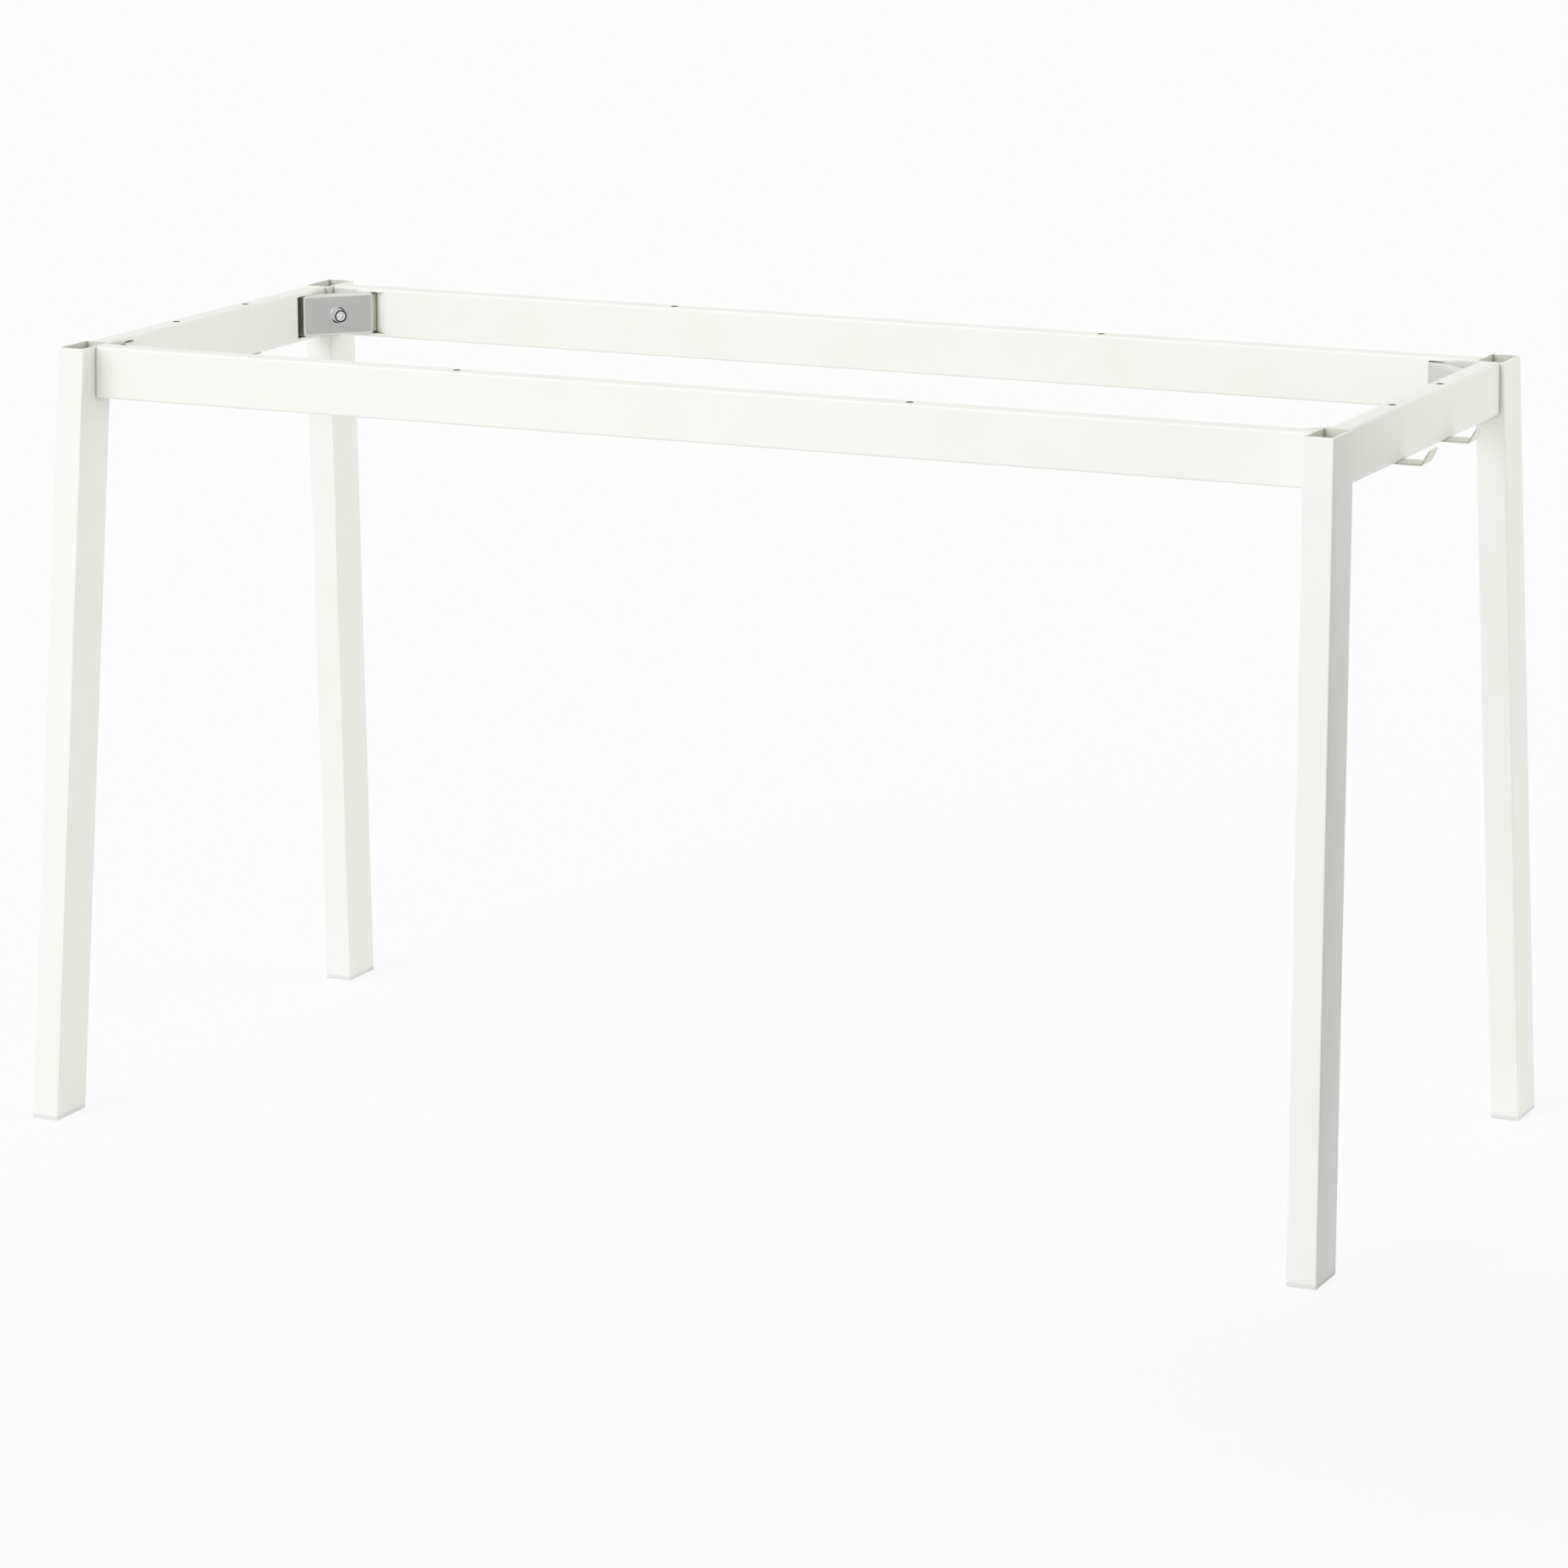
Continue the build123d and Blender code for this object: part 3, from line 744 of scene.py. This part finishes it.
@dataclass
class RailHook:
    """The hooks under the side rails: a strip bent up into a lip, its cut edges softened by the paint.

    Sizes are in millimetres, and places are those of the right-hand rail.
    """

    width: float = 25.0
    sheet: float = 1.2
    rail_inner: float = 592.0
    rail_outer: float = 612.0
    rail_underside: float = 672.0
    reach: float = 22.0
    lip: float = 15.5
    angle: float = 62.0
    bend: float = 1.0
    tip: float = 6.0
    hole: float = 7.0
    hole_x: float = 602.0
    row_y: float = 65.0
    edge: float = 0.3
    edge_lean: float = 0.6  # how far a face has to turn towards Y to count as a cut edge
    bend_steps: int = 8
    hole_sides: int = 40
    edge_steps: int = 3
    edge_above: float = 40.0  # edges sharper than this many degrees are rounded
    smooth_below: float = 35.0

    def model(self) -> bpy.types.Object:
        """Model the hook of the right-hand rail.

        Returns:
            The shape, centred across Y.
        """
        lean = math.radians(self.angle)
        level = self.rail_underside - self.sheet / 2
        used = (self.bend + self.sheet) * math.tan(lean / 2)
        turn_x = self.rail_outer + self.reach - used
        flat, rise = turn_x - self.rail_inner, self.lip - used
        deselect()
        bpy.ops.mesh.primitive_plane_add(size=MM)
        hook = bpy.context.object
        with editing(hook):
            bpy.ops.mesh.select_all(action="SELECT")
            bpy.ops.transform.resize(value=(flat, self.width, 1), center_override=(0, 0, 0))
            bpy.ops.transform.translate(value=((self.rail_inner + flat / 2) * MM, 0, level * MM))
            pick(hook, Kind.EDGE, lambda at: near(at.x, turn_x))
            centre = Vector((turn_x, 0, level + self.bend + self.sheet / 2)) * MM
            bpy.ops.mesh.spin(steps=self.bend_steps, angle=lean, center=centre, axis=(0, 1, 0))
            step = Vector((math.cos(lean), 0, math.sin(lean))) * rise * MM
            bpy.ops.mesh.extrude_region_move(TRANSFORM_OT_translate={"value": step})
            tip_z = max(vertex.co.z for vertex in bmesh.from_edit_mesh(hook.data).verts) / MM
            pick(hook, Kind.VERTEX, lambda at: near(at.z, tip_z))
            bpy.ops.mesh.bevel(offset=self.tip * MM, segments=self.bend_steps, affect="VERTICES")
        modify(hook, "SOLIDIFY", {"thickness": self.sheet * MM, "offset": 0.0, "use_even_offset": True})
        deselect()
        bpy.ops.mesh.primitive_cylinder_add(vertices=self.hole_sides, radius=self.hole / 2 * MM,
                                            depth=4 * self.sheet * MM,
                                            location=(self.hole_x * MM, 0, level * MM))
        combine(hook, bpy.context.object, "DIFFERENCE")
        modify(hook, "BEVEL", {"width": self.edge * MM, "segments": self.edge_steps,
                               "limit_method": "ANGLE", "angle_limit": math.radians(self.edge_above)})
        tidy(hook, self.smooth_below)
        return hook

    def build(self, material: bpy.types.Material, edge_material: bpy.types.Material) -> None:
        """Model one hook and hang a copy of it at each place under the side rails.

        Args:
            material: The hooks' coat, painted darker and more olive than the rails': painted shade.
            edge_material: The darker colour on their cut edges that face along Y: painted shade.
        """
        hook = self.model()
        # painted shade: the cut edges that face along Y take the darker second material
        for face in hook.data.polygons:
            face.material_index = int(abs(face.normal.y) > self.edge_lean)
        for corner in Corner:
            x_side, y_side = corner.value
            turn = Matrix.Rotation(0 if x_side > 0 else math.pi, 4, "Z")
            y_name, x_name = corner.label.split("_")
            node = f"hook_{x_name}_{y_name}"
            place = Matrix.Translation((0, y_side * self.row_y * MM, 0)) @ turn
            enter(copy_to(hook, f"bent_{node}", place), Slot.PAINT, node, material, edge_material)
        bpy.data.objects.remove(hook)


@dataclass(frozen=True)
class Card:
    """A dark card that stands on its edge, square to the way that it faces."""

    place: tuple[float, float, float]
    width: float
    height: float
    facing: float


@dataclass(frozen=True)
class Lamp:
    """A broad lamp, far off, and the way that it shines from."""

    name: str
    shines_from: tuple[float, float, float]
    strength: float
    softness: float
    colour: str


@dataclass
class Studio:
    """A pale floor, a soft lamp at the front left, a fill at the rear right, dark cards and the camera.

    Places and sizes are in metres, and angles in degrees.
    """

    camera_place: tuple[float, float, float] = (2.157, -4.717, 1.491)
    camera_turn: tuple[float, float, float] = (77.238, 0.0, 24.591)
    lens_mm: float = 131.83
    sensor_mm: float = 36.0
    view_end: float = 100.0
    floor_radius: float = 14.0
    floor_sides: int = 128
    floor_colour: str = "#F4F4F3"
    floor_glow: float = 0.85
    sky_low: float = 1.05
    sky_high: float = 0.65
    sky_colour: str = "#FFFFFC"
    lamp_distance: float = 5.0
    lamps: tuple[Lamp, ...] = (Lamp("studio_key", (-0.42, -0.76, 0.5), 1.12, 40.0, "#E8EAF6"),
                               Lamp("studio_fill", (0.85, 0.5, 0.15), 0.5, 60.0, "#F4F5FA"))
    cards: tuple[Card, ...] = (Card((1.05, -0.35, 0.45), 0.46, 0.9, 36.0),
                               Card((2.05, -1.27, 0.45), 0.84, 0.9, -29.0))
    card_colour: str = "#161616"

    def build(self) -> None:
        """Make the floor, the cards, the lamps, the world and the camera."""
        bpy.context.scene.view_settings.view_transform = "Standard"
        self.build_floor()
        self.build_cards()
        self.build_lamps()
        self.build_world()
        self.build_camera()

    def background_rays(self, tree: bpy.types.NodeTree) -> bpy.types.NodeSocket:
        """Tell the rays that show the background from those that light the object.

        Args:
            tree: The node tree that asks.

        Returns:
            A socket that is 1 for a camera, mirror or transmission ray and 0 for any other.
        """
        rays = add_node(tree, "ShaderNodeLightPath")
        seen = add_node(tree, "ShaderNodeMath", {"operation": "MAXIMUM"},
                        {0: rays.outputs["Is Camera Ray"], 1: rays.outputs["Is Glossy Ray"]})
        return add_node(tree, "ShaderNodeMath", {"operation": "MAXIMUM"},
                        {0: seen.outputs[0], 1: rays.outputs["Is Transmission Ray"]}).outputs[0]

    def build_floor(self) -> None:
        """Lay the floor: white to the camera, with the object's shadow kept."""
        deselect()
        bpy.ops.mesh.primitive_circle_add(vertices=self.floor_sides, radius=self.floor_radius,
                                          fill_type="NGON")
        floor = bpy.context.object
        floor.name = "studio_floor"
        material, tree = new_tree("matt_white_paper_floor")
        share = add_node(tree, "ShaderNodeMath", {"operation": "MULTIPLY", 1: self.floor_glow},
                         {0: self.background_rays(tree)})
        paper = add_node(tree, "ShaderNodeBsdfDiffuse", {"Color": linear(self.floor_colour)})
        white = add_node(tree, "ShaderNodeEmission", {"Strength": 1.0})
        mixed = add_node(tree, "ShaderNodeMixShader",
                         links={0: share.outputs[0], 1: paper.outputs[0], 2: white.outputs[0]})
        add_node(tree, "ShaderNodeOutputMaterial", links={"Surface": mixed.outputs[0]})
        floor.data.materials.append(material)

    def build_cards(self) -> None:
        """Stand dark cards at the right, which shade the faces there and give bright metal its edges."""
        material, tree = new_tree("matt_dark_card")
        matt = add_node(tree, "ShaderNodeBsdfDiffuse", {"Color": linear(self.card_colour)})
        add_node(tree, "ShaderNodeOutputMaterial", links={"Surface": matt.outputs[0]})
        for number, card in enumerate(self.cards, 1):
            turn = (math.radians(90), 0.0, math.radians(card.facing + 90))
            deselect()
            bpy.ops.mesh.primitive_plane_add(size=1.0, location=card.place, rotation=turn)
            sheet = bpy.context.object
            sheet.name = f"studio_card_{number}"
            sheet.scale = (card.width, card.height, 1.0)
            bpy.ops.object.transform_apply(location=True, rotation=True, scale=True)
            sheet.visible_camera = False
            sheet.data.materials.append(material)

    def build_lamps(self) -> None:
        """Hang the lamps, both broad and soft."""
        for lamp in self.lamps:
            bpy.ops.object.light_add(type="SUN", location=Vector(lamp.shines_from) * self.lamp_distance)
            light = bpy.context.object
            light.name = lamp.name
            light.rotation_euler = Vector(lamp.shines_from).to_track_quat("Z", "Y").to_euler()
            light.data.energy = lamp.strength
            light.data.angle = math.radians(lamp.softness)
            light.data.color = linear(lamp.colour)[:3]

    def build_world(self) -> None:
        """Fill the room with soft light, brighter from the sides than from above, but show it as white."""
        world = bpy.data.worlds.new("studio_room")
        bpy.context.scene.world = world
        world.use_nodes = True
        tree = world.node_tree
        tree.nodes.clear()
        way = add_node(tree, "ShaderNodeTexCoord").outputs["Generated"]
        height = add_node(tree, "ShaderNodeSeparateXYZ", links={0: way}).outputs["Z"]
        level = add_node(tree, "ShaderNodeMapRange", {"To Min": self.sky_low, "To Max": self.sky_high},
                         {"Value": height})
        light = add_node(tree, "ShaderNodeBackground", {"Color": linear(self.sky_colour)},
                         {"Strength": level.outputs["Result"]})
        white = add_node(tree, "ShaderNodeBackground", {"Color": linear("#FFFFFF"), "Strength": 1.0})
        mixed = add_node(tree, "ShaderNodeMixShader",
                         links={0: self.background_rays(tree), 1: light.outputs[0], 2: white.outputs[0]})
        add_node(tree, "ShaderNodeOutputWorld", links={"Surface": mixed.outputs[0]})

    def build_camera(self) -> None:
        """Place the camera where the photograph was taken."""
        bpy.ops.object.camera_add(location=self.camera_place,
                                  rotation=[math.radians(angle) for angle in self.camera_turn])
        camera = bpy.context.object
        camera.name = "studio_camera"
        camera.data.lens = self.lens_mm
        camera.data.sensor_width = self.sensor_mm
        camera.data.clip_end = self.view_end
        bpy.context.scene.camera = camera


@dataclass
class TubeFrame:
    """The CAD pieces, and the slot that each takes its finish from.

    The legs are in no slot here, because their coat has painted shade in the corners where rails meet
    them.
    """

    slots: dict[str, Slot] = field(default_factory=lambda: {
        "rail_": Slot.PAINT, "hook_": Slot.PAINT, "bracket_": Slot.SHEET,
        "nut_plate_": Slot.STEEL, "foot_": Slot.PLASTIC, "corner_": Slot.BRIGHT})

    def dress(self, finishes: dict[Slot, bpy.types.Material], leg_paint: bpy.types.Material) -> None:
        """Give every CAD node its finish.

        Args:
            finishes: The material of each slot.
            leg_paint: The legs' coat, with painted shade in the corners where rails meet them.
        """
        for name, node in sorted(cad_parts.items()):
            found = (finishes[slot] for start, slot in self.slots.items() if name.startswith(start))
            material = next(found, leg_paint)
            for place in node.material_slots:
                place.material = material
            LOG.info("dressed %s in %s", name, material.name)


def main() -> None:
    """Build the studio, then dress and add each sub-assembly."""
    logging.basicConfig(level=logging.INFO, format="%(name)s: %(message)s")
    deselect()
    finishes = {
        Slot.PAINT: PowderCoat().build(),
        Slot.SHEET: RolledZinc().build(),
        Slot.BRIGHT: MottledMetal("zinc_plated_steel_bright", "#E2E3E4", "#D6D7D8",
                                  smooth=0.08, rough=0.16, cloud_mm=6.0).build(),
        Slot.STEEL: MottledMetal("mild_steel_mill_finish", "#8F8E8A", "#7C7B77",
                                 smooth=0.38, rough=0.5, cloud_mm=4.0).build(),
        Slot.PLASTIC: MouldedPolyethylene().build(),
    }
    Studio().build()
    # the legs' coat also has painted shade in the corners where rails meet them
    leg_paint = PowderCoat("powder_coated_steel_white_legs", thin="#E4E6D6", corner="#B4B7A0").build()
    TubeFrame().dress(finishes, leg_paint)
    seat = CornerSeat()
    SocketBolt().build(seat, finishes[Slot.BRIGHT])
    StampedWasher().build(seat, finishes[Slot.BRIGHT])
    # the hooks' coat is painted darker and more olive than the rails': painted shade
    hook_paint = PowderCoat("powder_coated_steel_white_hooks", colour="#E6E7DC", shade="#E2E3D7").build()
    # the hooks' cut edges that face along Y are painted darker still: painted shade
    hook_edges = PowderCoat("powder_coated_steel_cut_edges", colour="#B7B8A4", shade="#B1B29D").build()
    RailHook().build(hook_paint, hook_edges)


if __name__ == "__main__":
    main()
